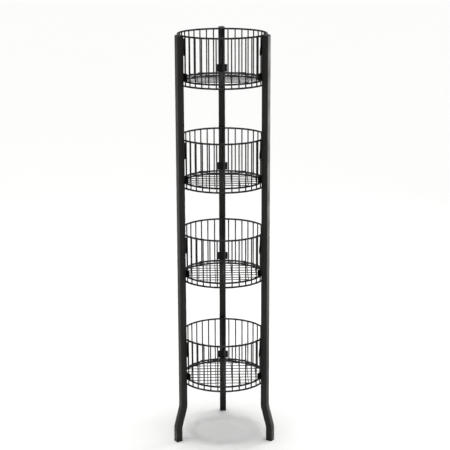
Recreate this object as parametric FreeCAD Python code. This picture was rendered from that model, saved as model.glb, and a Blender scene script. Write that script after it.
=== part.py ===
import FreeCAD, Part
import math
import os

# Floor-standing display rack: four round wire baskets, one above another, hooked between three posts of
# square tube.
#
# Frame: +Z up, floor at z = 0, the two front posts at -Y and the rear post at +Y. The origin is the middle of
# the footprint, so the baskets' common axis stands a little forward of it, at y = AXIS_Y.
#
# Each post is a tube that slips over a coupling channel in a separate bent leg, with a plastic cap above and
# a plastic glide below. Each basket is a welded assembly: rim, two lower hoops, upright wires and a square
# floor mesh. Hook plates on the basket enter slots in the posts and drop 8 mm, which ties the posts together.

# --- driving sizes, in millimetres ---
TUBE = 25.4                 # post and leg tube, outside
WALL = 1.5
TUBE_CORNER = 2.6           # outside corner radius of the tube
POST_CIRCLE = 186.0         # from the baskets' axis to the middle of each post
POST_TOP = 1600.0
POSTS = {"rear": 90.0, "front_left": 210.0, "front_right": 330.0}

LEG_TOP = 242.0             # where post and leg meet
LEG_OFFSET = 24.0           # how far the foot stands outside its post
LEG_BEND_START = 48.0       # height where the leg leaves the vertical
LEG_BEND_RADIUS = 75.0
LEG_BEND_ANGLE = 16.0
GLIDE_BASE = 4.0

PLUG_GAP = 0.2              # between a tube's inside and what slides into it
PLUG_DEPTH = 14.0
PLUG_WALL = 2.0
COUPLING_REACH = 40.0       # into the leg and into the post
CAP_PLATE = 2.0
CAP_DOME = 4.0
# Each level of the dome: how much narrower than the tube, corner radius, share of the dome's height.
CAP_LEVELS = ((0.0, TUBE_CORNER, 0.0), (5.0, 4.0, 0.7), (14.0, 5.0, 1.0))
GLIDE_BEVEL = 1.0

RIM_HEIGHTS = {1: 1598.0, 2: 1208.0, 3: 838.0, 4: 416.0}
BASKET_DEPTH = 184.0        # rim to base hoop, centre to centre
RIM_RADIUS = 167.5          # to the middle of the rim's wire
RIM_WIRE = 7.0
HOOP_WIRE = 7.0
SIDE_WIRE = 5.0
FLOOR_WIRE = 3.2
SIDE_WIRES = 36
FLOOR_PITCH = 31.75
FLOOR_HOOP_RISE = 14.0      # floor hoop above the base hoop
FLOOR_OVERHANG = FLOOR_WIRE / 3     # how far the cross wires pass the middle of the floor hoop
WELD = 0.3                  # how far welded wires sink into each other

WIRE_TURN = 1.2             # how far the upright wires are turned from the posts, in degrees

HOOK_PLATE = 3.0            # thickness
HOOK_FLANGE = 24.0          # width of the flange on the upper hook's inner edge
HOOK_FLANGE_WALL = 2.5
HOOK_GAP = 0.4              # between a hook and the post or slot
HOOK_NECK = 10.0            # height of the neck that goes through the slot
HOOK_DROP = 8.0             # how far the tip hangs below the neck, behind the wall
HOOK_TIP = 3.0
SLOT_HEIGHT = 19.0
SLOT_SEAT = 0.2             # between a hook's neck and the bottom of its slot
UPPER_NECK_BELOW_RIM = 40.0
LOWER_NECK_BELOW_RIM = 157.0
UPPER_PLATE = (72.0, 56.0, 6.0)     # below the rim: foot, start of the slope, top
LOWER_PLATE = (167.0, 137.0)        # below the rim: foot and top
STRAP_HEIGHT = 30.0
STRAP = 2.5
STRAP_HALF_ANGLE = 7.4

LEAST_CORNER = 0.5          # inside corner of a bore whose wall is thicker than the corner outside
OVERRUN = 1.0               # how far a cutting shape reaches past what it cuts

# --- sizes that follow ---
AXIS_Y = (RIM_RADIUS + RIM_WIRE / 2 - POST_CIRCLE - LEG_OFFSET - TUBE / 2) / 2
SIDE_RADIUS = RIM_RADIUS - RIM_WIRE / 2 - SIDE_WIRE / 2 + WELD
BASE_HOOP_RADIUS = SIDE_RADIUS + SIDE_WIRE / 2 + HOOP_WIRE / 2 - WELD
FLOOR_HOOP_RADIUS = SIDE_RADIUS - SIDE_WIRE / 2 - HOOP_WIRE / 2 + WELD
POST_INSIDE = POST_CIRCLE - TUBE / 2        # the post's face that looks at the baskets
HOOK_OUTSIDE = POST_INSIDE - HOOK_GAP
HOOK_INSIDE = SIDE_RADIUS + SIDE_WIRE / 2 - WELD
PLUG = TUBE - 2 * WALL - 2 * PLUG_GAP

UP = FreeCAD.Vector(0, 0, 1)
AXIS_POINT = FreeCAD.Vector(0, 0, 0)


def at(radius, side, height):
    """A point in the plane of a post that stands on +X: outwards, sideways, up."""
    return FreeCAD.Vector(radius, side, height)


def square_outline(side, corner, centre, height):
    """A square wire with round corners, level, around (centre, 0)."""
    reach = side / 2
    flat = reach - corner
    edges = []
    for quarter in range(4):
        turn = math.radians(90 * quarter)
        spin = lambda x, y: at(
            centre + x * math.cos(turn) - y * math.sin(turn),
            x * math.sin(turn) + y * math.cos(turn),
            height,
        )
        edges.append(Part.LineSegment(spin(reach, -flat), spin(reach, flat)).toShape())
        middle = flat + corner * math.cos(math.radians(45))
        edges.append(Part.Arc(spin(reach, flat), spin(middle, middle), spin(flat, reach)).toShape())
    return Part.Wire(edges)


def square_bar(side, corner, centre, low, high):
    """An upright bar with the square outline."""
    return Part.Face(square_outline(side, corner, centre, low)).extrude(UP * (high - low))


def square_tube(side, corner, wall, centre, low, high):
    """An upright tube: the bar less its bore."""
    bore_corner = max(corner - wall, LEAST_CORNER)
    bore = square_bar(side - 2 * wall, bore_corner, centre, low - OVERRUN, high + OVERRUN)
    return square_bar(side, corner, centre, low, high).cut(bore)


def plate(points, thickness):
    """A flat plate in the plane of the post, from (outwards, up) points."""
    corners = [at(radius, -thickness / 2, height) for radius, height in points]
    face = Part.Face(Part.makePolygon(corners + corners[:1]))
    return face.extrude(FreeCAD.Vector(0, thickness, 0))


def place(shape, angle):
    """Turns a shape made on +X to a post's angle, and moves it onto the baskets' axis."""
    placed = shape.copy()
    placed.rotate(AXIS_POINT, UP, angle)
    placed.translate(FreeCAD.Vector(0, AXIS_Y, 0))
    return placed


# --- posts and legs ---
def slot_heights():
    """The bottom of each slot in a post, two for each basket."""
    necks = (UPPER_NECK_BELOW_RIM, LOWER_NECK_BELOW_RIM)
    return [rim - neck - SLOT_SEAT for rim in RIM_HEIGHTS.values() for neck in necks]


def post_tube():
    tube = square_tube(TUBE, TUBE_CORNER, WALL, POST_CIRCLE, LEG_TOP, POST_TOP)
    width = HOOK_PLATE + 2 * HOOK_GAP
    for bottom in slot_heights():
        slot = Part.makeBox(2 * WALL, width, SLOT_HEIGHT, at(POST_INSIDE - WALL / 2, -width / 2, bottom))
        tube = tube.cut(slot)
    return tube


def leg_path():
    """The leg's centreline from the floor end up: straight, out-bend, short straight, in-bend, straight."""
    turn = math.radians(LEG_BEND_ANGLE)
    radius = LEG_BEND_RADIUS
    foot = POST_CIRCLE + LEG_OFFSET
    sideways = 2 * radius * (1 - math.cos(turn))
    slope = (LEG_OFFSET - sideways) / math.sin(turn)

    def low_arc(part):
        return at(foot - radius * (1 - math.cos(part)), 0, LEG_BEND_START + radius * math.sin(part))

    slope_start = low_arc(turn)
    slope_end = slope_start + at(-math.sin(turn), 0, math.cos(turn)) * slope
    centre = slope_end + at(math.cos(turn), 0, math.sin(turn)) * radius

    def high_arc(part):
        return centre - at(math.cos(part), 0, math.sin(part)) * radius

    runs = [
        Part.LineSegment(at(foot, 0, GLIDE_BASE), low_arc(0)),
        Part.Arc(low_arc(0), low_arc(turn / 2), slope_start),
        Part.LineSegment(slope_start, slope_end),
        Part.Arc(slope_end, high_arc(turn / 2), high_arc(0)),
        Part.LineSegment(high_arc(0), at(POST_CIRCLE, 0, LEG_TOP)),
    ]
    return Part.Wire([run.toShape() for run in runs])


def leg_tube():
    path = leg_path()
    foot = POST_CIRCLE + LEG_OFFSET
    outside = path.makePipeShell([square_outline(TUBE, TUBE_CORNER, foot, GLIDE_BASE)], True, False)
    bore_outline = square_outline(TUBE - 2 * WALL, TUBE_CORNER - WALL, foot, GLIDE_BASE)
    bore = path.makePipeShell([bore_outline], True, False)
    return outside.cut(bore)


def leg_coupling():
    """A channel welded inside the leg, open towards the baskets so that the lowest hooks clear it."""
    low = LEG_TOP - COUPLING_REACH
    high = LEG_TOP + COUPLING_REACH
    channel = square_tube(PLUG, TUBE_CORNER - WALL, WALL, POST_CIRCLE, low, high)
    opening = PLUG - 2 * WALL
    corner = at(POST_CIRCLE - PLUG / 2 - OVERRUN, -opening / 2, low)
    return channel.cut(Part.makeBox(PLUG / 2, opening, high - low, corner))


def plug_skirt(centre, low, high):
    """The hollow part of a plastic plug that is pushed into a tube."""
    return square_tube(PLUG, TUBE_CORNER - WALL, PLUG_WALL, centre, low, high)


def post_cap():
    """Plug, plate and low dome. The plate is as wide as the tube."""
    plate_top = POST_TOP + CAP_PLATE
    outlines = [
        square_outline(TUBE - narrower, corner, POST_CIRCLE, plate_top + share * CAP_DOME)
        for narrower, corner, share in CAP_LEVELS
    ]
    dome = Part.makeLoft(outlines, True)
    head = square_bar(TUBE, TUBE_CORNER, POST_CIRCLE, POST_TOP, plate_top).fuse(dome)
    return head.fuse(plug_skirt(POST_CIRCLE, POST_TOP - PLUG_DEPTH, POST_TOP)).removeSplitter()


def foot_glide():
    """Plug and a base plate with a bevelled underside, flat where it meets the floor."""
    centre = POST_CIRCLE + LEG_OFFSET
    outlines = [
        square_outline(TUBE - 2 * GLIDE_BEVEL, TUBE_CORNER - GLIDE_BEVEL, centre, 0),
        square_outline(TUBE, TUBE_CORNER, centre, GLIDE_BEVEL),
    ]
    base = square_bar(TUBE, TUBE_CORNER, centre, GLIDE_BEVEL, GLIDE_BASE)
    base = Part.makeLoft(outlines, True, True).fuse(base)
    return base.fuse(plug_skirt(centre, GLIDE_BASE, GLIDE_BASE + PLUG_DEPTH)).removeSplitter()


# --- baskets, made with the rim at height 0 ---
def ring(radius, wire, height):
    return Part.makeTorus(radius, wire / 2, at(0, 0, height), UP)


def side_wires():
    low = -BASKET_DEPTH - SIDE_WIRE / 2
    length = SIDE_WIRE / 2 - low
    wire = Part.makeCylinder(SIDE_WIRE / 2, length, at(SIDE_RADIUS, 0, low), UP)
    wires = []
    for number in range(SIDE_WIRES):
        upright = wire.copy()
        upright.rotate(AXIS_POINT, UP, WIRE_TURN + 360 / SIDE_WIRES * number)
        wires.append(upright)
    return Part.makeCompound(wires)


def floor_wires(reach, height, turn):
    """Parallel wires across the basket, each as long as a circle of radius reach allows, then turned."""
    count = int((reach - FLOOR_WIRE / 2) / FLOOR_PITCH)
    wires = []
    for number in range(-count, count + 1):
        offset = number * FLOOR_PITCH
        half = math.sqrt(reach**2 - offset**2)
        start = at(-half, offset, height)
        wire = Part.makeCylinder(FLOOR_WIRE / 2, 2 * half, start, FreeCAD.Vector(1, 0, 0))
        wire.rotate(AXIS_POINT, UP, turn)
        wires.append(wire)
    return Part.makeCompound(wires)


def hook_nose(neck_bottom):
    """A hook's outline from the plate's outer edge through the wall and down behind it, listed upwards."""
    behind = POST_INSIDE + WALL + HOOK_GAP
    tip = behind + HOOK_TIP
    return [
        (HOOK_OUTSIDE, neck_bottom),
        (behind, neck_bottom),
        (behind, neck_bottom - HOOK_DROP),
        (tip, neck_bottom - HOOK_DROP),
        (tip, neck_bottom + HOOK_NECK),
        (HOOK_OUTSIDE, neck_bottom + HOOK_NECK),
    ]


def upper_hook():
    """A wedge, widest at its foot, with a flange on its sloping edge that is welded to the upright wire."""
    foot, slope, top = UPPER_PLATE
    outline = [(HOOK_INSIDE, -foot), (HOOK_OUTSIDE, -foot)]
    outline += hook_nose(-UPPER_NECK_BELOW_RIM)
    outline += [(HOOK_OUTSIDE, -top), (HOOK_OUTSIDE - HOOK_FLANGE_WALL, -top), (HOOK_INSIDE, -slope)]
    edge = [(HOOK_INSIDE, -foot), (HOOK_INSIDE, -slope), (HOOK_OUTSIDE - HOOK_FLANGE_WALL, -top)]
    behind = [(radius + HOOK_FLANGE_WALL, height) for radius, height in reversed(edge)]
    return plate(outline, HOOK_PLATE).fuse(plate(edge + behind, HOOK_FLANGE)).removeSplitter()


def lower_hook():
    """A short plate welded to the strap behind it."""
    foot, top = LOWER_PLATE
    inside = HOOK_INSIDE + STRAP - WELD
    outline = [(inside, -foot), (HOOK_OUTSIDE, -foot)]
    outline += hook_nose(-LOWER_NECK_BELOW_RIM)
    outline += [(HOOK_OUTSIDE, -top), (inside, -top)]
    return plate(outline, HOOK_PLATE)


def lower_strap():
    """A curved plate on the outside of an upright wire, behind each lower hook."""
    foot = LOWER_PLATE[0]
    corner = at(HOOK_INSIDE, 0, -foot)
    along = FreeCAD.Vector(STRAP, 0, 0)
    section = Part.makePolygon([corner, corner + along, corner + along + UP * STRAP_HEIGHT,
                                corner + UP * STRAP_HEIGHT, corner])
    strap = Part.Face(section).revolve(AXIS_POINT, UP, 2 * STRAP_HALF_ANGLE)
    strap.rotate(AXIS_POINT, UP, -STRAP_HALF_ANGLE)
    return strap


def at_every_post(piece):
    """Three copies of a piece made on +X, one facing each post."""
    copies = []
    for angle in POSTS.values():
        copy = piece.copy()
        copy.rotate(AXIS_POINT, UP, angle)
        copies.append(copy)
    return Part.makeCompound(copies)


def basket_pieces():
    floor_hoop = -BASKET_DEPTH + FLOOR_HOOP_RISE
    cross_height = floor_hoop + HOOP_WIRE / 2 + FLOOR_WIRE / 2 - WELD
    long_height = cross_height - FLOOR_WIRE + WELD
    lift = long_height - floor_hoop
    long_reach = FLOOR_HOOP_RADIUS - math.sqrt((HOOP_WIRE / 2) ** 2 - lift**2) + 2 * WELD
    return {
        "rim": ring(RIM_RADIUS, RIM_WIRE, 0),
        "base_hoop": ring(BASE_HOOP_RADIUS, HOOP_WIRE, -BASKET_DEPTH),
        "floor_hoop": ring(FLOOR_HOOP_RADIUS, HOOP_WIRE, floor_hoop),
        "side_wires": side_wires(),
        "floor_cross_wires": floor_wires(FLOOR_HOOP_RADIUS + FLOOR_OVERHANG, cross_height, 0),
        "floor_long_wires": floor_wires(long_reach, long_height, 90),
        "upper_hooks": at_every_post(upper_hook()),
        "lower_hooks": at_every_post(lower_hook()),
        "lower_straps": at_every_post(lower_strap()),
    }


def main():
    os.makedirs("parts", exist_ok=True)
    nodes = {}
    post_pieces = {
        "post": post_tube(),
        "leg": leg_tube(),
        "leg_coupling": leg_coupling(),
        "post_cap": post_cap(),
        "foot_glide": foot_glide(),
    }
    for side, angle in POSTS.items():
        for name, shape in post_pieces.items():
            nodes[f"{side}_{name}"] = place(shape, angle)
    pieces = basket_pieces()
    for number, rim in RIM_HEIGHTS.items():
        for name, shape in pieces.items():
            raised = shape.copy()
            raised.translate(UP * rim)
            nodes[f"basket_{number}_{name}"] = place(raised, 0)
    for name, shape in nodes.items():
        shape.exportStep(f"parts/{name}.step")
        solids = len(shape.Solids)
        print(f"{name}: {solids} solid(s), {shape.Volume / 1000:.2f} cm3, valid {shape.isValid()}")


main()
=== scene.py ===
import logging
import math
from dataclasses import dataclass, field
from enum import Enum

import bmesh
import bpy
from mathutils import Matrix, Vector


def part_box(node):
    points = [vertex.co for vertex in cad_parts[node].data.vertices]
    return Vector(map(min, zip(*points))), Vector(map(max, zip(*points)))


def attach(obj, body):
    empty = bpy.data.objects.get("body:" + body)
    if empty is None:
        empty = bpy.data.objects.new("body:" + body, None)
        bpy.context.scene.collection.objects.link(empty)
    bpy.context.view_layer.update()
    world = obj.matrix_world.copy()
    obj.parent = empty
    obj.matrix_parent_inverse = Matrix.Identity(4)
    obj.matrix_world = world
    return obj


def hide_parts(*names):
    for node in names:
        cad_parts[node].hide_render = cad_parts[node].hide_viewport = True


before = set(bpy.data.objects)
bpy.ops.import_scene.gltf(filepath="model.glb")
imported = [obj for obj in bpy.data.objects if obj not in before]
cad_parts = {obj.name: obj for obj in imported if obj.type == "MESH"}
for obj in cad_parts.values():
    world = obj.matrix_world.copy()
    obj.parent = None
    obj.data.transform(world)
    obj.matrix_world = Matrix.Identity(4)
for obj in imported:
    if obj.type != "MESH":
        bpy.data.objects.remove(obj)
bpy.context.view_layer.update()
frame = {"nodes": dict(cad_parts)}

LOG = logging.getLogger("display_rack")

MM = 0.001
DOUBLES = 1e-6  # vertices closer than this are one
NEAR = 0.1 * MM  # how far off a plane a face still counts as on it
NOISE_BAND = (0.3, 0.7)  # where most of a noise texture's values lie
UP = Vector((0, 0, 1))
ORIGIN = Vector((0, 0, 0))


class PostPlace(Enum):
    """Where a post stands round the baskets, in degrees from +X."""

    REAR = 90.0
    FRONT_LEFT = 210.0
    FRONT_RIGHT = 330.0

    @property
    def label(self) -> str:
        """The start of the names of the pieces that belong to this post."""
        return self.name.lower()


class Tier(Enum):
    """A basket's number, counted from the top."""

    TOP = 1
    UPPER = 2
    LOWER = 3
    BOTTOM = 4

    @property
    def body(self) -> str:
        """The moving body that this basket's pieces ride on."""
        return f"basket_{self.value}"


# --- colour and nodes ---


def linear(hex_colour: str) -> tuple[float, float, float, float]:
    """Turns an sRGB hex colour into linear light.

    Args:
        hex_colour: Six hex digits, such as "1d1c1a".

    Returns:
        Red, green, blue and alpha, from 0 to 1.
    """
    channels = [int(hex_colour[start : start + 2], 16) / 255 for start in (0, 2, 4)]
    lit = [c / 12.92 if c <= 0.04045 else ((c + 0.055) / 1.055) ** 2.4 for c in channels]
    return (*lit, 1.0)


def band(source: tuple[float, float], target: tuple[float, float] = (0.0, 1.0)) -> dict[str, float]:
    """Settings that turn one range of values into another."""
    return {"From Min": source[0], "From Max": source[1], "To Min": target[0], "To Max": target[1]}


def per_metre(millimetres: float) -> float:
    """Gives the texture scale whose features are this many millimetres apart."""
    return 1.0 / (millimetres * MM)


def add_node(
    tree: bpy.types.NodeTree, kind: str, settings: dict | None = None, **links: tuple
) -> bpy.types.Node:
    """Adds a node with its settings and links.

    Args:
        tree: The node tree.
        kind: The node's type name.
        settings: Attributes, or input values where the name is that of an input.
        links: Input name, with spaces as underscores, to (node, output name).

    Returns:
        The new node.
    """
    made = tree.nodes.new(kind)
    for name, value in (settings or {}).items():
        if name in made.inputs:
            made.inputs[name].default_value = value
        else:
            setattr(made, name, value)
    for name, (source, output) in links.items():
        tree.links.new(source.outputs[output], made.inputs[name.replace("_", " ")])
    return made


@dataclass
class Finish:
    """A node-based material under construction."""

    title: str
    material: bpy.types.Material = field(init=False)

    def __post_init__(self) -> None:
        """Starts the material with its output and shader."""
        self.material = bpy.data.materials.new(self.title)
        self.material.use_nodes = True
        self.material.node_tree.nodes.clear()
        self.output = self.node("ShaderNodeOutputMaterial")
        self.shader = self.node("ShaderNodeBsdfPrincipled")
        self.join(self.shader, "BSDF", self.output, "Surface")
        self.place = self.node("ShaderNodeTexCoord")

    def node(self, kind: str, settings: dict | None = None, **links: tuple) -> bpy.types.Node:
        """Adds a node to this material, as add_node does."""
        return add_node(self.material.node_tree, kind, settings, **links)

    def join(self, source: bpy.types.Node, output: str, target: bpy.types.Node, name: str) -> None:
        """Links one node's output to another's input."""
        self.material.node_tree.links.new(source.outputs[output], target.inputs[name])


@dataclass(frozen=True)
class PowderCoat:
    """Satin black powder coat on steel: deep, faintly warm, low in shine, with a soft orange-peel skin."""

    title: str
    film: str = "13110d"
    thin_film: str = "1a1814"
    film_band: tuple[float, float] = (0.35, 0.7)
    dust: str = "3d3b37"
    specular_level: float = 0.25
    roughness: tuple[float, float] = (0.36, 0.5)
    peel_spacing: float = 2.2
    peel_height: float = 0.05
    peel_strength: float = 0.35
    drift_spacing: float = 60.0
    speck_spacing: float = 5.0
    speck_radius: tuple[float, float] = (0.02, 0.07)
    speck_cover: float = 0.35

    def build(self) -> bpy.types.Material:
        """Builds the material.

        Returns:
            The powder-coated steel material.
        """
        made = Finish(self.title)
        where = {"Vector": (made.place, "Object")}
        drift_scale = {"Scale": per_metre(self.drift_spacing), "Detail": 3.0}
        drift = made.node("ShaderNodeTexNoise", drift_scale, **where)
        thinness = made.node("ShaderNodeMapRange", band(self.film_band), Value=(drift, "Fac"))
        film_ends = {"data_type": "RGBA", "A": linear(self.film), "B": linear(self.thin_film)}
        film = made.node("ShaderNodeMix", film_ends, Factor=(thinness, "Result"))
        cells = made.node("ShaderNodeTexVoronoi", {"Scale": per_metre(self.speck_spacing)}, **where)
        cover = band(self.speck_radius, (self.speck_cover, 0.0))
        specks = made.node("ShaderNodeMapRange", cover, Value=(cells, "Distance"))
        dusty = {"data_type": "RGBA", "B": linear(self.dust)}
        coat = made.node("ShaderNodeMix", dusty, Factor=(specks, "Result"), A=(film, "Result"))
        made.join(coat, "Result", made.shader, "Base Color")
        rough = made.node("ShaderNodeMapRange", band(NOISE_BAND, self.roughness), Value=(drift, "Fac"))
        made.join(rough, "Result", made.shader, "Roughness")
        made.shader.inputs["Specular IOR Level"].default_value = self.specular_level
        peel_scale = {"Scale": per_metre(self.peel_spacing), "Detail": 1.5}
        peel = made.node("ShaderNodeTexNoise", peel_scale, **where)
        relief = {"Strength": self.peel_strength, "Distance": self.peel_height * MM}
        bump = made.node("ShaderNodeBump", relief, Height=(peel, "Fac"))
        made.join(bump, "Normal", made.shader, "Normal")
        return made.material


@dataclass(frozen=True)
class MouldedPlastic:
    """Moulded black polyethylene: matt, slightly grey where light grazes its spark-eroded grain.

    The real grain is finer than this one, which is as coarse as it needs to be to show.
    """

    title: str
    body: str = "191919"
    worn: str = "2b2b2a"
    wear_band: tuple[float, float] = (0.45, 0.75)
    roughness: float = 0.55
    grain_spacing: float = 0.9
    grain_height: float = 0.04
    grain_strength: float = 0.5
    wear_spacing: float = 7.0

    def build(self) -> bpy.types.Material:
        """Builds the material.

        Returns:
            The moulded plastic material.
        """
        made = Finish(self.title)
        where = {"Vector": (made.place, "Object")}
        wear_scale = {"Scale": per_metre(self.wear_spacing), "Detail": 4.0}
        wear = made.node("ShaderNodeTexNoise", wear_scale, **where)
        rubbed = made.node("ShaderNodeMapRange", band(self.wear_band), Value=(wear, "Fac"))
        ends = {"data_type": "RGBA", "A": linear(self.body), "B": linear(self.worn)}
        colour = made.node("ShaderNodeMix", ends, Factor=(rubbed, "Result"))
        made.join(colour, "Result", made.shader, "Base Color")
        made.shader.inputs["Roughness"].default_value = self.roughness
        grain_scale = {"Scale": per_metre(self.grain_spacing), "Detail": 2.0}
        grain = made.node("ShaderNodeTexNoise", grain_scale, **where)
        relief = {"Strength": self.grain_strength, "Distance": self.grain_height * MM}
        bump = made.node("ShaderNodeBump", relief, Height=(grain, "Fac"))
        made.join(bump, "Normal", made.shader, "Normal")
        return made.material


@dataclass(frozen=True)
class ZincPlate:
    """Bright zinc plate on steel: cool grey metal with a faint crystalline drift in its shine."""

    title: str
    metal: str = "a9acae"
    crystal_spacing: float = 4.0
    roughness: tuple[float, float] = (0.28, 0.45)

    def build(self) -> bpy.types.Material:
        """Builds the material.

        Returns:
            The zinc-plated steel material.
        """
        made = Finish(self.title)
        made.shader.inputs["Base Color"].default_value = linear(self.metal)
        made.shader.inputs["Metallic"].default_value = 1.0
        crystal_scale = {"Scale": per_metre(self.crystal_spacing), "Detail": 2.0}
        crystals = made.node("ShaderNodeTexNoise", crystal_scale, Vector=(made.place, "Object"))
        dullness = band(NOISE_BAND, self.roughness)
        rough = made.node("ShaderNodeMapRange", dullness, Value=(crystals, "Fac"))
        made.join(rough, "Result", made.shader, "Roughness")
        return made.material


@dataclass(frozen=True)
class Finishes:
    """The finishes of the whole rack, one for each material slot of the record."""

    frame: bpy.types.Material
    basket: bpy.types.Material
    zinc: bpy.types.Material
    cap: bpy.types.Material
    glide: bpy.types.Material

    @classmethod
    def build(cls) -> "Finishes":
        """Makes every finish once."""
        return cls(
            frame=PowderCoat("black powder-coated steel tube").build(),
            basket=PowderCoat(
                "black powder-coated steel wire", film="0f0f0e", thin_film="151514", peel_spacing=1.4
            ).build(),
            zinc=ZincPlate("zinc-plated steel").build(),
            cap=MouldedPlastic("black polyethylene cap").build(),
            glide=MouldedPlastic("black polyethylene glide", body="141414", roughness=0.62).build(),
        )


# --- mesh helpers ---


def ends_of(edges: list[bmesh.types.BMEdge]) -> list[bmesh.types.BMVert]:
    """The vertices of some edges, each of them once and in order."""
    return list(dict.fromkeys(vert for edge in edges for vert in edge.verts))


def part_edges(made: dict) -> list[bmesh.types.BMEdge]:
    """The edges in what a bmesh operator returned."""
    found = made.get("geom") or made.get("geom_last") or []
    return [item for item in found if isinstance(item, bmesh.types.BMEdge)]


def part_verts(made: dict) -> list[bmesh.types.BMVert]:
    """The vertices in what a bmesh operator returned."""
    found = made.get("verts") or made.get("geom") or made.get("geom_last") or []
    return [item for item in found if isinstance(item, bmesh.types.BMVert)]


def first_face(made: dict) -> bmesh.types.BMFace:
    """The first face in what a bmesh operator returned."""
    return next(item for item in made["geom"] if isinstance(item, bmesh.types.BMFace))


def soften(
    bm: bmesh.types.BMesh, edges: list[bmesh.types.BMEdge], width: float, segments: int = 2
) -> None:
    """Rounds edges over.

    Args:
        bm: The mesh.
        edges: The edges to round.
        width: How far the round reaches from the edge, in metres.
        segments: Faces across the round.
    """
    bmesh.ops.bevel(
        bm,
        geom=edges,
        offset=width,
        offset_type="OFFSET",
        segments=segments,
        profile=0.5,
        affect="EDGES",
        clamp_overlap=True,
        material=-1,
    )


def sharp_edges(bm: bmesh.types.BMesh, angle: float = 40.0) -> list[bmesh.types.BMEdge]:
    """The edges where two faces meet at more than an angle, in degrees."""
    limit = math.radians(angle)
    return [e for e in bm.edges if len(e.link_faces) == 2 and e.calc_face_angle(0.0) > limit]


def square_outline(
    bm: bmesh.types.BMesh, side: float, corner: float, centre: Vector, steps: int = 5
) -> bmesh.types.BMFace:
    """Adds a level square face with round corners.

    Args:
        bm: The mesh.
        side: Width across flats.
        corner: Corner radius.
        centre: Middle of the square.
        steps: Edges in each corner's round.

    Returns:
        The face, whose normal points up.
    """
    square = bmesh.ops.create_circle(bm, cap_ends=True, radius=side / math.sqrt(2), segments=4)
    verts = part_verts(square)
    turn = Matrix.Rotation(math.radians(45), 4, "Z")
    bmesh.ops.transform(bm, matrix=Matrix.Translation(centre) @ turn, verts=verts)
    rounded = bmesh.ops.bevel(
        bm,
        geom=verts,
        offset=corner,
        offset_type="OFFSET",
        segments=steps,
        profile=0.5,
        affect="VERTICES",
        clamp_overlap=True,
        material=-1,
    )
    touched = (face for vert in rounded["verts"] for face in vert.link_faces)
    face = max(touched, key=lambda face: face.calc_area())
    face.normal_update()
    if face.normal.z < 0:
        face.normal_flip()
    return face


def raise_face(
    bm: bmesh.types.BMesh, face: bmesh.types.BMFace, by: float, inset: float = 0.0
) -> bmesh.types.BMFace:
    """Insets a face if asked, then draws it along its normal.

    Args:
        bm: The mesh.
        face: The face to draw out.
        by: How far, in metres.
        inset: Width of the border that stays behind.

    Returns:
        The face at its new place.
    """
    if inset:
        bmesh.ops.inset_region(
            bm, faces=[face], thickness=inset, use_boundary=True, use_even_offset=True
        )
    normal = face.normal.copy()
    lid = first_face(bmesh.ops.extrude_face_region(bm, geom=[face]))
    bmesh.ops.translate(bm, vec=normal * by, verts=lid.verts[:])
    bmesh.ops.delete(bm, geom=[face], context="FACES_ONLY")
    return lid


def resize(
    bm: bmesh.types.BMesh, verts: list[bmesh.types.BMVert], shares: Vector, middle: Vector
) -> None:
    """Scales vertices along each axis about a point."""
    bmesh.ops.scale(bm, vec=shares, space=Matrix.Translation(-middle), verts=verts)


def draw_loop(
    bm: bmesh.types.BMesh, edges: list[bmesh.types.BMEdge], step: Vector, scale: float = 1.0
) -> list[bmesh.types.BMEdge]:
    """Extrudes a loop of edges by a step, and scales the new loop about its own middle.

    Args:
        bm: The mesh.
        edges: The loop.
        step: How far the new loop moves.
        scale: Size of the new loop against the old one.

    Returns:
        The new loop's edges.
    """
    drawn = bmesh.ops.extrude_edge_only(bm, edges=edges)
    verts = part_verts(drawn)
    bmesh.ops.translate(bm, vec=step, verts=verts)
    if scale != 1.0:
        middle = sum((v.co for v in verts), Vector()) / len(verts)
        resize(bm, verts, Vector((scale, scale, scale)), middle)
    return part_edges(drawn)


def round_axis(radius: float, height: float, angle: float) -> Vector:
    """The point at a radius, a height and an angle from +X about the Z axis."""
    return Vector((radius * math.cos(angle), radius * math.sin(angle), height))


def bead(bm: bmesh.types.BMesh, centre: Vector, size: Vector, turn: float = 0.0) -> None:
    """Adds a small rounded weld bead.

    Args:
        bm: The mesh.
        centre: Middle of the bead.
        size: Half widths along the bead's own axes.
        turn: Turn about +Z, in radians.
    """
    shape = Matrix.Translation(centre) @ Matrix.Rotation(turn, 4, "Z") @ Matrix.Diagonal((*size, 1.0))
    bmesh.ops.create_icosphere(bm, subdivisions=1, radius=1.0, matrix=shape)


def ring(
    bm: bmesh.types.BMesh, radius: float, wire: float, height: float, faces: tuple[int, int]
) -> None:
    """Adds a closed hoop of round wire about the Z axis.

    Args:
        bm: The mesh.
        radius: To the middle of the wire.
        wire: Wire diameter.
        height: Height of the wire's middle.
        faces: How many round the hoop, and how many round the wire.
    """
    steps, sides = faces
    section = bmesh.ops.create_circle(bm, cap_ends=False, radius=wire / 2, segments=sides)
    verts = part_verts(section)
    upright = Matrix.Translation((radius, 0, height)) @ Matrix.Rotation(math.radians(90), 4, "X")
    bmesh.ops.transform(bm, matrix=upright, verts=verts)
    loop = list(dict.fromkeys(edge for vert in verts for edge in vert.link_edges))
    bmesh.ops.spin(
        bm,
        geom=verts + loop,
        cent=ORIGIN,
        axis=UP,
        dvec=ORIGIN,
        angle=math.tau,
        steps=steps,
        use_merge=True,
        use_normal_flip=False,
        use_duplicate=False,
    )


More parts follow.
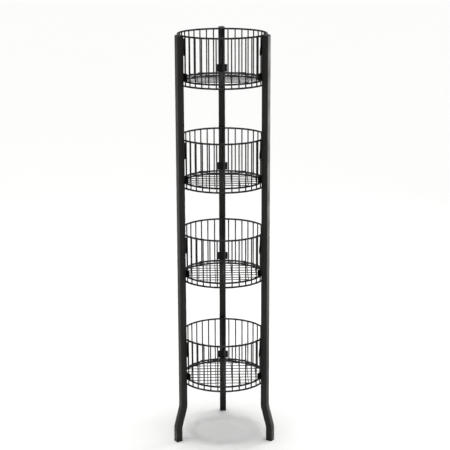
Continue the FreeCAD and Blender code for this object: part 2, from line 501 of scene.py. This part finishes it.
def rod(
    bm: bmesh.types.BMesh, start: Vector, length: float, wire: float, along: Matrix, sides: int = 10
) -> None:
    """Adds a straight wire.

    Args:
        bm: The mesh.
        start: Middle of the wire's first end.
        length: Its length.
        wire: Its diameter.
        along: Turns +Z to the wire's direction.
        sides: Faces round it.
    """
    matrix = Matrix.Translation(start) @ along
    end = bmesh.ops.create_circle(bm, cap_ends=True, radius=wire / 2, segments=sides, matrix=matrix)
    drawn = bmesh.ops.extrude_face_region(bm, geom=[end["verts"][0].link_faces[0]])
    bmesh.ops.translate(bm, vec=(along @ UP) * length, verts=part_verts(drawn))


def slab(bm: bmesh.types.BMesh, outline: list[tuple[float, float]], thickness: float) -> None:
    """Adds a flat plate in the plane of a post that stands on +X.

    Args:
        bm: The mesh.
        outline: Its corners in order, outwards and up.
        thickness: Across the plane.
    """
    face = bm.faces.new([bm.verts.new((x, -thickness / 2, z)) for x, z in outline])
    drawn = bmesh.ops.extrude_face_region(bm, geom=[face])
    bmesh.ops.translate(bm, vec=Vector((0, thickness, 0)), verts=part_verts(drawn))
    bmesh.ops.recalc_face_normals(bm, faces=bm.faces[:])


def repeat_round(bm: bmesh.types.BMesh, count: int, first: float) -> None:
    """Repeats what was made on +X, evenly round the Z axis.

    Args:
        bm: The mesh.
        count: How many there are in the full circle.
        first: Where the first one goes, in radians from +X.
    """
    bmesh.ops.rotate(bm, cent=ORIGIN, matrix=Matrix.Rotation(first, 3, "Z"), verts=bm.verts[:])
    bmesh.ops.spin(
        bm,
        geom=bm.verts[:] + bm.edges[:] + bm.faces[:],
        cent=ORIGIN,
        axis=UP,
        dvec=ORIGIN,
        angle=math.tau * (count - 1) / count,
        steps=count - 1,
        use_merge=False,
        use_normal_flip=False,
        use_duplicate=True,
    )


@dataclass
class Placement:
    """How a finished mesh becomes a piece of the rack."""

    body: str
    slot: str
    material: bpy.types.Material
    replaces: tuple[str, ...] = ()
    smooth_angle: float = 32.0

    def make(self, name: str, bm: bmesh.types.BMesh) -> bpy.types.Object:
        """Turns a mesh into a piece that rides on its body.

        Args:
            name: The piece's name.
            bm: The mesh, already in place. It is freed.

        Returns:
            The new object.
        """
        bmesh.ops.remove_doubles(bm, verts=bm.verts[:], dist=DOUBLES)
        bmesh.ops.recalc_face_normals(bm, faces=bm.faces[:])
        mesh = bpy.data.meshes.new(name)
        bm.to_mesh(mesh)
        bm.free()
        mesh.shade_smooth()
        mesh.set_sharp_from_angle(angle=math.radians(self.smooth_angle))
        piece = bpy.data.objects.new(name, mesh)
        bpy.context.scene.collection.objects.link(piece)
        mesh.materials.append(self.material)
        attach(piece, self.body)
        if self.replaces:
            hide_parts(*self.replaces)
        LOG.info("%s: %d faces on %s", name, len(mesh.polygons), self.body)
        return piece


# --- the rack's sizes ---


def node_middle(node: str) -> Vector:
    """The middle of a CAD node's box."""
    low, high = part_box(node)
    return (low + high) / 2


@dataclass(frozen=True)
class SquareTube:
    """Cold-rolled square steel tube."""

    side: float = 25.4 * MM
    wall: float = 1.5 * MM
    corner: float = 2.6 * MM
    end_round: float = 0.5 * MM

    @property
    def half(self) -> float:
        """Half the tube's width."""
        return self.side / 2


@dataclass(frozen=True)
class Layout:
    """Sizes and places that posts, legs and baskets share."""

    rims: dict[Tier, float]
    axis_y: float
    post_circle: float
    post_top: float
    leg_top: float
    leg_offset: float
    tube: SquareTube = SquareTube()
    hook_plate: float = 3.0 * MM
    hook_gap: float = 0.4 * MM
    upper_neck: float = 40.0 * MM
    lower_neck: float = 157.0 * MM

    @classmethod
    def from_frame(cls) -> "Layout":
        """Reads where the posts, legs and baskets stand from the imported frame."""
        middles = {tier: node_middle(f"{tier.body}_rim") for tier in Tier}
        axis_y = middles[Tier.TOP].y
        post_low, post_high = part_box("rear_post")
        return cls(
            rims={tier: middle.z for tier, middle in middles.items()},
            axis_y=axis_y,
            post_circle=node_middle("rear_post").y - axis_y,
            post_top=post_high.z,
            leg_top=post_low.z,
            leg_offset=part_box("rear_leg")[1].y - post_high.y,
        )

    def at_post(self, place: PostPlace) -> Matrix:
        """Moves a shape made on +X to a post's place round the baskets' axis."""
        turn = Matrix.Rotation(math.radians(place.value), 4, "Z")
        return Matrix.Translation((0, self.axis_y, 0)) @ turn

    def on_axis(self, height: float = 0.0) -> Matrix:
        """Moves a shape made about the Z axis to the baskets' axis, at a height."""
        return Matrix.Translation((0, self.axis_y, height))


LAYOUT = Layout.from_frame()


# --- standing frame ---


@dataclass
class Post:
    """An upright: slotted tube, domed cap, bent leg, coupling and floor glide."""

    place: PostPlace
    finishes: Finishes
    slot_width: float = LAYOUT.hook_plate + 2 * LAYOUT.hook_gap
    slot_height: float = 19.0 * MM
    slot_seat: float = 0.2 * MM
    bend_start: float = 48.0 * MM
    bend_radius: float = 75.0 * MM
    bend_angle: float = math.radians(16.0)
    bend_steps: int = 10
    glide_base: float = 4.0 * MM
    glide_bevel: float = 1.0 * MM
    plug_gap: float = 0.2 * MM
    plug_depth: float = 14.0 * MM
    cap_edge: float = 1.4 * MM
    crown_steps: tuple[tuple[float, float], ...] = (
        (0.6 * MM, 0.97),
        (1.0 * MM, 0.92),
        (1.16 * MM, 0.83),
        (0.84 * MM, 0.75),
        (0.4 * MM, 0.6),
    )

    def build(self) -> None:
        """Makes the post's pieces and dresses the coupling."""
        self.make_tube()
        self.make_leg()
        self.make_cap()
        self.make_glide()
        self.dress_coupling()

    def _name(self, piece: str) -> str:
        """The name of a piece's CAD node."""
        return f"{self.place.label}_{piece}"

    def _placement(self, piece: str, slot: str, material: bpy.types.Material) -> Placement:
        """How a piece stands for its CAD node on the frame."""
        return Placement("frame", slot, material, (self._name(piece),))

    def _finish(self, name: str, bm: bmesh.types.BMesh, placement: Placement) -> bpy.types.Object:
        """Moves a mesh made on +X to the post and makes it a piece."""
        bmesh.ops.transform(bm, matrix=LAYOUT.at_post(self.place), verts=bm.verts[:])
        return placement.make(name, bm)

    def _slots(self) -> list[tuple[float, float]]:
        """Bottom and top of each slot, from the lowest up."""
        necks = (LAYOUT.upper_neck, LAYOUT.lower_neck)
        rims = LAYOUT.rims.values()
        bottoms = sorted(rim - neck - self.slot_seat for rim in rims for neck in necks)
        return [(bottom, bottom + self.slot_height) for bottom in bottoms]

    def _outline(self, bm: bmesh.types.BMesh, radius: float, height: float) -> list[bmesh.types.BMEdge]:
        """The tube's outline as a loop of edges."""
        tube = LAYOUT.tube
        face = square_outline(bm, tube.side, tube.corner, Vector((radius, 0, height)))
        edges = face.edges[:]
        bmesh.ops.delete(bm, geom=[face], context="FACES_ONLY")
        return edges

    def _wall(self, piece: bpy.types.Object) -> None:
        """Gives a tube's skin its wall."""
        wall = piece.modifiers.new("tube wall", "SOLIDIFY")
        wall.thickness = LAYOUT.tube.wall
        wall.offset = -1.0
        wall.use_even_offset = True

    def make_tube(self) -> None:
        """The slotted tube above the leg."""
        tube = LAYOUT.tube
        shrink = 1 - 2 * tube.end_round / tube.side
        bm = bmesh.new()
        self._outline(bm, LAYOUT.post_circle, LAYOUT.leg_top)
        middle = Vector((LAYOUT.post_circle, 0, LAYOUT.leg_top))
        sideways = Vector((0, 1, 0))
        for side in (-1, 1):
            cut = sideways * side * self.slot_width / 2
            geom = bm.verts[:] + bm.edges[:]
            bmesh.ops.bisect_plane(bm, geom=geom, plane_co=cut, plane_no=sideways)
        resize(bm, bm.verts[:], Vector((shrink, shrink, 1)), middle)
        loop = draw_loop(bm, bm.edges[:], UP * tube.end_round)
        resize(bm, ends_of(loop), Vector((1 / shrink, 1 / shrink, 1)), middle)
        height = LAYOUT.leg_top + tube.end_round
        for bottom, top in self._slots():
            for level in (bottom, top):
                loop = draw_loop(bm, loop, UP * (level - height))
                height = level
        loop = draw_loop(bm, loop, UP * (LAYOUT.post_top - tube.end_round - height))
        draw_loop(bm, loop, UP * tube.end_round, shrink)
        bmesh.ops.delete(bm, geom=self._slot_faces(bm), context="FACES")
        placement = self._placement("post", "frame_powder_coated_steel", self.finishes.frame)
        self._wall(self._finish(f"{self.place.label}_slotted_post", bm, placement))

    def _slot_faces(self, bm: bmesh.types.BMesh) -> list[bmesh.types.BMFace]:
        """The faces of the tube's skin that the slots take away."""
        inner = LAYOUT.post_circle - LAYOUT.tube.half
        slots = self._slots()
        found = []
        for face in bm.faces:
            middle = face.calc_center_median()
            on_face = abs(middle.x - inner) < NEAR and abs(middle.y) < self.slot_width / 2
            if on_face and any(bottom < middle.z < top for bottom, top in slots):
                found.append(face)
        return found

    def make_leg(self) -> None:
        """The bent leg: straight foot, out-bend and in-bend, straight neck."""
        tube = LAYOUT.tube
        foot = LAYOUT.post_circle + LAYOUT.leg_offset
        radius, turn = self.bend_radius, self.bend_angle
        across = Vector((math.cos(turn), 0, math.sin(turn)))
        lean = Vector((-math.sin(turn), 0, math.cos(turn)))
        slope = (LAYOUT.leg_offset - 2 * radius * (1 - math.cos(turn))) / math.sin(turn)
        low_centre = Vector((foot - radius, 0, self.bend_start))
        high_centre = low_centre + across * 2 * radius + lean * slope
        bm = bmesh.new()
        loop = self._outline(bm, foot, self.glide_base)
        loop = draw_loop(bm, loop, UP * (self.bend_start - self.glide_base))
        loop = self._bend(bm, loop, low_centre, -turn)
        loop = draw_loop(bm, loop, lean * slope)
        loop = self._bend(bm, loop, high_centre, turn)
        loop = draw_loop(bm, loop, UP * (LAYOUT.leg_top - tube.end_round - high_centre.z))
        draw_loop(bm, loop, UP * tube.end_round, 1 - 2 * tube.end_round / tube.side)
        placement = self._placement("leg", "frame_powder_coated_steel", self.finishes.frame)
        self._wall(self._finish(f"{self.place.label}_bent_leg", bm, placement))

    def _bend(
        self, bm: bmesh.types.BMesh, loop: list[bmesh.types.BMEdge], centre: Vector, turn: float
    ) -> list[bmesh.types.BMEdge]:
        """Sweeps the tube's outline round a bend.

        Args:
            bm: The mesh.
            loop: The outline where the bend starts.
            centre: Middle of the bend.
            turn: Angle about +Y, in radians.

        Returns:
            The outline where the bend ends.
        """
        swept = bmesh.ops.spin(
            bm,
            geom=ends_of(loop) + loop,
            cent=centre,
            axis=Vector((0, 1, 0)),
            dvec=ORIGIN,
            angle=turn,
            steps=self.bend_steps,
            use_merge=False,
            use_normal_flip=False,
            use_duplicate=False,
        )
        return part_edges(swept)

    def make_cap(self) -> None:
        """The domed plastic cap and its plug."""
        tube = LAYOUT.tube
        bm = bmesh.new()
        top = Vector((LAYOUT.post_circle, 0, LAYOUT.post_top))
        face = square_outline(bm, tube.side, tube.corner, top)
        plug = first_face(bmesh.ops.duplicate(bm, geom=[face]))
        plug.normal_flip()
        raise_face(bm, plug, self.plug_depth, tube.wall + self.plug_gap)
        lid = raise_face(bm, face, self.cap_edge)
        for rise, reach in self.crown_steps:
            lid = self._crown(bm, lid, rise, reach)
        placement = self._placement("post_cap", "black_cap_plastic", self.finishes.cap)
        self._finish(f"{self.place.label}_domed_cap", bm, placement)

    def _crown(
        self, bm: bmesh.types.BMesh, face: bmesh.types.BMFace, rise: float, reach: float
    ) -> bmesh.types.BMFace:
        """Draws a level face outwards and narrows it, as one step of a dome or bevel.

        Args:
            bm: The mesh.
            face: The level face.
            rise: How far it moves along its normal.
            reach: Its new width as a share of its old one.

        Returns:
            The face at its new place.
        """
        middle = face.calc_center_median()
        lid = raise_face(bm, face, rise)
        resize(bm, lid.verts[:], Vector((reach, reach, 1)), middle)
        return lid

    def make_glide(self) -> None:
        """The plastic glide under the leg, with a bevelled sole, and its plug."""
        tube = LAYOUT.tube
        foot = Vector((LAYOUT.post_circle + LAYOUT.leg_offset, 0, self.glide_base))
        bm = bmesh.new()
        face = square_outline(bm, tube.side, tube.corner, foot)
        sole = first_face(bmesh.ops.duplicate(bm, geom=[face]))
        sole.normal_flip()
        raise_face(bm, face, self.plug_depth, tube.wall + self.plug_gap)
        sole = raise_face(bm, sole, self.glide_base - self.glide_bevel)
        self._crown(bm, sole, self.glide_bevel, 1 - 2 * self.glide_bevel / tube.side)
        placement = self._placement("foot_glide", "black_glide_plastic", self.finishes.glide)
        self._finish(f"{self.place.label}_floor_glide", bm, placement)

    def dress_coupling(self) -> None:
        """Gives the channel inside the joint its zinc plate."""
        coupling = frame["nodes"][self._name("leg_coupling")]
        coupling.data.materials.clear()
        coupling.data.materials.append(self.finishes.zinc)


# --- baskets ---


@dataclass
class WireBasket:
    """One welded basket: rim, two lower hoops, upright wires, square floor mesh, hooks and straps."""

    tier: Tier
    finishes: Finishes
    depth: float = 184.0 * MM
    rim_radius: float = 167.5 * MM
    rim_wire: float = 7.0 * MM
    hoop_wire: float = 7.0 * MM
    side_wire: float = 5.0 * MM
    floor_wire: float = 3.2 * MM
    side_wires: int = 36
    wire_turn: float = math.radians(1.2)
    floor_pitch: float = 31.75 * MM
    floor_hoop_rise: float = 14.0 * MM
    weld: float = 0.3 * MM
    hook_flange: float = 24.0 * MM
    hook_flange_wall: float = 2.5 * MM
    hook_neck: float = 10.0 * MM
    hook_drop: float = 8.0 * MM
    hook_tip: float = 3.0 * MM
    upper_plate: tuple[float, float, float] = (72.0 * MM, 56.0 * MM, 6.0 * MM)
    lower_plate: tuple[float, float] = (167.0 * MM, 137.0 * MM)
    strap_height: float = 30.0 * MM
    strap: float = 2.5 * MM
    strap_half_angle: float = math.radians(7.4)
    strap_steps: int = 8
    rim_faces: tuple[int, int] = (144, 14)
    hoop_faces: tuple[int, int] = (120, 12)
    rim_joint: float = math.radians(75)
    hoop_joint: float = math.radians(105)
    joint_collar: Vector = field(default_factory=lambda: Vector((0.57, 0.5, 0.57)))
    edge_round: float = 0.4 * MM
    end_round: float = 0.5 * MM
    weld_bead: Vector = field(default_factory=lambda: Vector((1.0, 2.5, 2.2)) * MM)

    def __post_init__(self) -> None:
        """Works out the radii that follow from the wires."""
        self.side_radius = self.rim_radius - self.rim_wire / 2 - self.side_wire / 2 + self.weld
        self.base_radius = self.side_radius + self.side_wire / 2 + self.hoop_wire / 2 - self.weld
        self.floor_radius = self.side_radius - self.side_wire / 2 - self.hoop_wire / 2 + self.weld
        self.post_inside = LAYOUT.post_circle - LAYOUT.tube.half
        self.hook_outside = self.post_inside - LAYOUT.hook_gap
        self.hook_inside = self.side_radius + self.side_wire / 2 - self.weld
        self.floor_hoop_height = -self.depth + self.floor_hoop_rise
        above_hoop = self.hoop_wire / 2 + self.floor_wire / 2 - self.weld
        self.cross_height = self.floor_hoop_height + above_hoop
        self.long_height = self.cross_height - self.floor_wire + self.weld

    def build(self) -> None:
        """Makes every piece of the basket."""
        self.make_rim()
        self.make_hoop("base_hoop", self.base_radius, -self.depth)
        self.make_hoop("floor_hoop", self.floor_radius, self.floor_hoop_height)
        self.make_side_wires()
        reach = self.floor_radius + self.floor_wire / 3
        self.make_floor_wires("floor_cross_wires", reach, self.cross_height, 0.0)
        lift = self.long_height - self.floor_hoop_height
        reach = self.floor_radius - math.sqrt((self.hoop_wire / 2) ** 2 - lift**2) + 2 * self.weld
        self.make_floor_wires("floor_long_wires", reach, self.long_height, math.radians(90))
        self.make_upper_hooks()
        self.make_lower_hooks()
        self.make_lower_straps()
        self.make_weld_beads()

    def _finish(self, name: str, bm: bmesh.types.BMesh, node: str | None = None) -> bpy.types.Object:
        """Moves a mesh made about the axis, rim at height 0, to its tier and makes it a piece."""
        bmesh.ops.transform(bm, matrix=LAYOUT.on_axis(LAYOUT.rims[self.tier]), verts=bm.verts[:])
        stands_for = (f"{self.tier.body}_{node}",) if node else ()
        slot = "basket_powder_coated_steel"
        placement = Placement(self.tier.body, slot, self.finishes.basket, stands_for)
        return placement.make(f"{self.tier.body}_{name}", bm)

    def make_rim(self) -> None:
        """The heavy rim, with the low bump of its butt weld at the back."""
        bm = bmesh.new()
        ring(bm, self.rim_radius, self.rim_wire, 0.0, self.rim_faces)
        self._butt_weld(bm, self.rim_radius, self.rim_wire, 0.0, self.rim_joint)
        self._finish("rim_hoop", bm, "rim")

    def make_hoop(self, node: str, radius: float, height: float) -> None:
        """One of the two lower hoops.

        Args:
            node: The CAD node that the hoop stands for.
            radius: To the middle of its wire.
            height: Below the rim, as a negative number.
        """
        bm = bmesh.new()
        ring(bm, radius, self.hoop_wire, height, self.hoop_faces)
        self._butt_weld(bm, radius, self.hoop_wire, height, self.hoop_joint)
        self._finish(f"{node}_wire", bm, node)

    def _butt_weld(
        self, bm: bmesh.types.BMesh, radius: float, wire: float, height: float, angle: float
    ) -> None:
        """Adds the collar where a hoop's two ends are joined."""
        bead(bm, round_axis(radius, height, angle), self.joint_collar * wire, angle)

    def make_side_wires(self) -> None:
        """The ring of upright wires."""
        bm = bmesh.new()
        low = -self.depth - self.side_wire / 2
        start = Vector((self.side_radius, 0, low))
        rod(bm, start, self.side_wire / 2 - low, self.side_wire, Matrix.Identity(4))
        soften(bm, sharp_edges(bm), self.end_round, 1)
        repeat_round(bm, self.side_wires, self.wire_turn)
        self._finish("upright_wires", bm, "side_wires")

    def make_floor_wires(self, node: str, reach: float, height: float, turn: float) -> None:
        """The floor mesh's wires in one direction.

        Args:
            node: The CAD node that they stand for.
            reach: Radius at which the wires end.
            height: Below the rim, as a negative number.
            turn: Turn of the wires about the axis, from +X.
        """
        bm = bmesh.new()
        count = int((reach - self.floor_wire / 2) / self.floor_pitch)
        level = Matrix.Rotation(math.radians(90), 4, "Y")
        for number in range(-count, count + 1):
            offset = number * self.floor_pitch
            half = math.sqrt(reach**2 - offset**2)
            rod(bm, Vector((-half, offset, height)), 2 * half, self.floor_wire, level)
        bmesh.ops.rotate(bm, cent=ORIGIN, matrix=Matrix.Rotation(turn, 3, "Z"), verts=bm.verts[:])
        self._finish(node.replace("floor", "floor_mesh"), bm, node)

    def _nose(self, neck: float) -> list[tuple[float, float]]:
        """The hook's outline through the post's wall and down behind it, listed upwards."""
        behind = self.post_inside + LAYOUT.tube.wall + LAYOUT.hook_gap
        tip = behind + self.hook_tip
        return [
            (self.hook_outside, -neck),
            (behind, -neck),
            (behind, -neck - self.hook_drop),
            (tip, -neck - self.hook_drop),
            (tip, -neck + self.hook_neck),
            (self.hook_outside, -neck + self.hook_neck),
        ]

    def _fit_to_posts(self, name: str, bm: bmesh.types.BMesh, node: str) -> None:
        """Rounds the edges of what was made on +X, repeats it at every post and makes it a piece."""
        soften(bm, sharp_edges(bm), self.edge_round)
        repeat_round(bm, len(PostPlace), math.radians(PostPlace.REAR.value))
        self._finish(name, bm, node)

    def make_upper_hooks(self) -> None:
        """The wedge brackets below the rim: hooked web and sloping flange."""
        foot, slope, top = self.upper_plate
        crest = self.hook_outside - self.hook_flange_wall
        web = [(self.hook_inside, -foot), (self.hook_outside, -foot), *self._nose(LAYOUT.upper_neck)]
        web += [(self.hook_outside, -top), (crest, -top), (self.hook_inside, -slope)]
        edge = [(self.hook_inside, -foot), (self.hook_inside, -slope), (crest, -top)]
        flange = edge + [(x + self.hook_flange_wall, z) for x, z in reversed(edge)]
        bm = bmesh.new()
        slab(bm, web, LAYOUT.hook_plate)
        slab(bm, flange, self.hook_flange)
        self._fit_to_posts("wedge_hooks", bm, "upper_hooks")

    def make_lower_hooks(self) -> None:
        """The short hook plates near the basket's foot."""
        foot, top = self.lower_plate
        inside = self.hook_inside + self.strap - self.weld
        outline = [(inside, -foot), (self.hook_outside, -foot), *self._nose(LAYOUT.lower_neck)]
        outline += [(self.hook_outside, -top), (inside, -top)]
        bm = bmesh.new()
        slab(bm, outline, LAYOUT.hook_plate)
        self._fit_to_posts("foot_hooks", bm, "lower_hooks")

    def make_lower_straps(self) -> None:
        """The curved plates that the lower hooks are welded to."""
        foot = self.lower_plate[0]
        corners = [(0, 0), (self.strap, 0), (self.strap, self.strap_height), (0, self.strap_height)]
        bm = bmesh.new()
        edges = []
        verts = [bm.verts.new((self.hook_inside + x, 0, z - foot)) for x, z in corners]
        for number, vert in enumerate(verts):
            edges.append(bm.edges.new((vert, verts[(number + 1) % len(verts)])))
        bmesh.ops.spin(
            bm,
            geom=verts + edges,
            cent=ORIGIN,
            axis=UP,
            dvec=ORIGIN,
            angle=2 * self.strap_half_angle,
            steps=self.strap_steps,
            use_merge=False,
            use_normal_flip=False,
            use_duplicate=False,
        )
        bmesh.ops.holes_fill(bm, edges=[e for e in bm.edges if e.is_boundary], sides=len(corners))
        bmesh.ops.recalc_face_normals(bm, faces=bm.faces[:])
        turn = Matrix.Rotation(-self.strap_half_angle, 3, "Z")
        bmesh.ops.rotate(bm, cent=ORIGIN, matrix=turn, verts=bm.verts[:])
        self._fit_to_posts("foot_straps", bm, "lower_straps")

    def make_weld_beads(self) -> None:
        """The small beads where the upright wires are welded to the three hoops."""
        bm = bmesh.new()
        pitch = math.tau / self.side_wires
        joints = [
            (self.rim_radius - self.rim_wire / 2, 0.0),
            (self.base_radius - self.hoop_wire / 2, -self.depth),
            (self.floor_radius + self.hoop_wire / 2, self.floor_hoop_height),
        ]
        for number in range(self.side_wires):
            angle = self.wire_turn + number * pitch
            for radius, height in joints:
                bead(bm, round_axis(radius, height, angle), self.weld_bead, angle)
        self._finish("weld_beads", bm)


# --- stage ---


@dataclass(frozen=True)
class SoftBox:
    """A rectangular studio light that looks at the middle of the rack."""

    title: str
    place: tuple[float, float, float]
    size: tuple[float, float]
    power: float
    target: tuple[float, float, float] = (0.0, 0.0, 0.8)

    def build(self) -> None:
        """Adds the light."""
        light = bpy.data.lights.new(self.title, "AREA")
        light.shape = "RECTANGLE"
        light.size, light.size_y = self.size
        light.energy = self.power
        lamp = bpy.data.objects.new(self.title, light)
        lamp.location = self.place
        aim = Vector(self.target) - Vector(self.place)
        lamp.rotation_euler = aim.to_track_quat("-Z", "Y").to_euler()
        bpy.context.scene.collection.objects.link(lamp)


@dataclass(frozen=True)
class CeilingLight:
    """Even light from straight above, as from a wide diffuser. It draws the soft shadow under the rack."""

    strength: float = 2.55
    spread: float = math.radians(26.0)
    height: float = 5.0

    def build(self) -> None:
        """Adds the light."""
        light = bpy.data.lights.new("ceiling_light", "SUN")
        light.energy = self.strength
        light.angle = self.spread
        lamp = bpy.data.objects.new("ceiling_light", light)
        lamp.location = UP * self.height
        bpy.context.scene.collection.objects.link(lamp)


@dataclass(frozen=True)
class Studio:
    """Pale floor, soft light and the camera."""

    floor_half: float = 80.0
    floor_colour: str = "fbfbfa"
    floor_roughness: float = 0.9
    sky_colour: str = "ffffff"
    horizon_strength: float = 1.0
    zenith_strength: float = 0.12
    horizon_band: float = 0.6
    camera_x: float = -0.0751
    camera_distance: float = 5.0
    camera_height: float = 2.1666
    yaw: float = math.radians(-0.95)
    pitch: float = math.radians(14.681)
    roll: float = math.radians(-0.207)
    lens: float = 106.4
    sensor_width: float = 36.0
    view_reach: float = 100.0

    def build(self) -> None:
        """Sets the whole stage."""
        self.make_floor()
        self.make_sky()
        self.make_lights()
        self.make_camera()

    def make_floor(self) -> None:
        """A wide plain floor."""
        bm = bmesh.new()
        bmesh.ops.create_grid(bm, x_segments=1, y_segments=1, size=self.floor_half)
        mesh = bpy.data.meshes.new("studio_floor")
        bm.to_mesh(mesh)
        bm.free()
        floor = bpy.data.objects.new("studio_floor", mesh)
        bpy.context.scene.collection.objects.link(floor)
        paint = Finish("matt studio floor")
        paint.shader.inputs["Base Color"].default_value = linear(self.floor_colour)
        paint.shader.inputs["Roughness"].default_value = self.floor_roughness
        mesh.materials.append(paint.material)

    def make_sky(self) -> None:
        """Pale walls all round that fade to a dimmer ceiling."""
        world = bpy.data.worlds.new("studio_sky")
        world.use_nodes = True
        tree = world.node_tree
        place = add_node(tree, "ShaderNodeTexCoord")
        split = add_node(tree, "ShaderNodeSeparateXYZ", Vector=(place, "Generated"))
        ends = band((0.0, self.horizon_band), (self.horizon_strength, self.zenith_strength))
        fade = add_node(tree, "ShaderNodeMapRange", ends, Value=(split, "Z"))
        background = tree.nodes["Background"]
        background.inputs["Color"].default_value = linear(self.sky_colour)
        tree.links.new(fade.outputs["Result"], background.inputs["Strength"])
        bpy.context.scene.world = world
        bpy.context.scene.view_settings.view_transform = "Standard"

    def make_lights(self) -> None:
        """The ceiling light and two soft boxes behind the rack, one of them low on the left."""
        CeilingLight().build()
        boxes = (
            SoftBox("left_low_box", place=(-3.2, 1.6, 0.4), size=(1.4, 0.8), power=5.0),
            SoftBox("right_box", place=(2.9, 1.6, 0.9), size=(1.4, 1.8), power=48.0),
        )
        for box in boxes:
            box.build()

    def make_camera(self) -> None:
        """The camera, aimed with a small turn and roll."""
        data = bpy.data.cameras.new("studio_camera")
        data.lens = self.lens
        data.sensor_width = self.sensor_width
        data.clip_end = self.view_reach
        camera = bpy.data.objects.new("studio_camera", data)
        forward = LAYOUT.axis_y - self.camera_distance
        place = Matrix.Translation((self.camera_x, forward, self.camera_height))
        tilt = Matrix.Rotation(math.radians(90) - self.pitch, 4, "X")
        turn = Matrix.Rotation(self.yaw, 4, "Z")
        camera.matrix_world = place @ turn @ tilt @ Matrix.Rotation(self.roll, 4, "Z")
        bpy.context.scene.collection.objects.link(camera)
        bpy.context.scene.camera = camera


def main() -> None:
    """Builds the rack's posts and baskets, then the stage."""
    logging.basicConfig(level=logging.INFO, format="%(name)s: %(message)s")
    finishes = Finishes.build()
    for place in PostPlace:
        Post(place, finishes).build()
    for tier in Tier:
        WireBasket(tier, finishes).build()
    Studio().build()


if __name__ == "__main__":
    main()
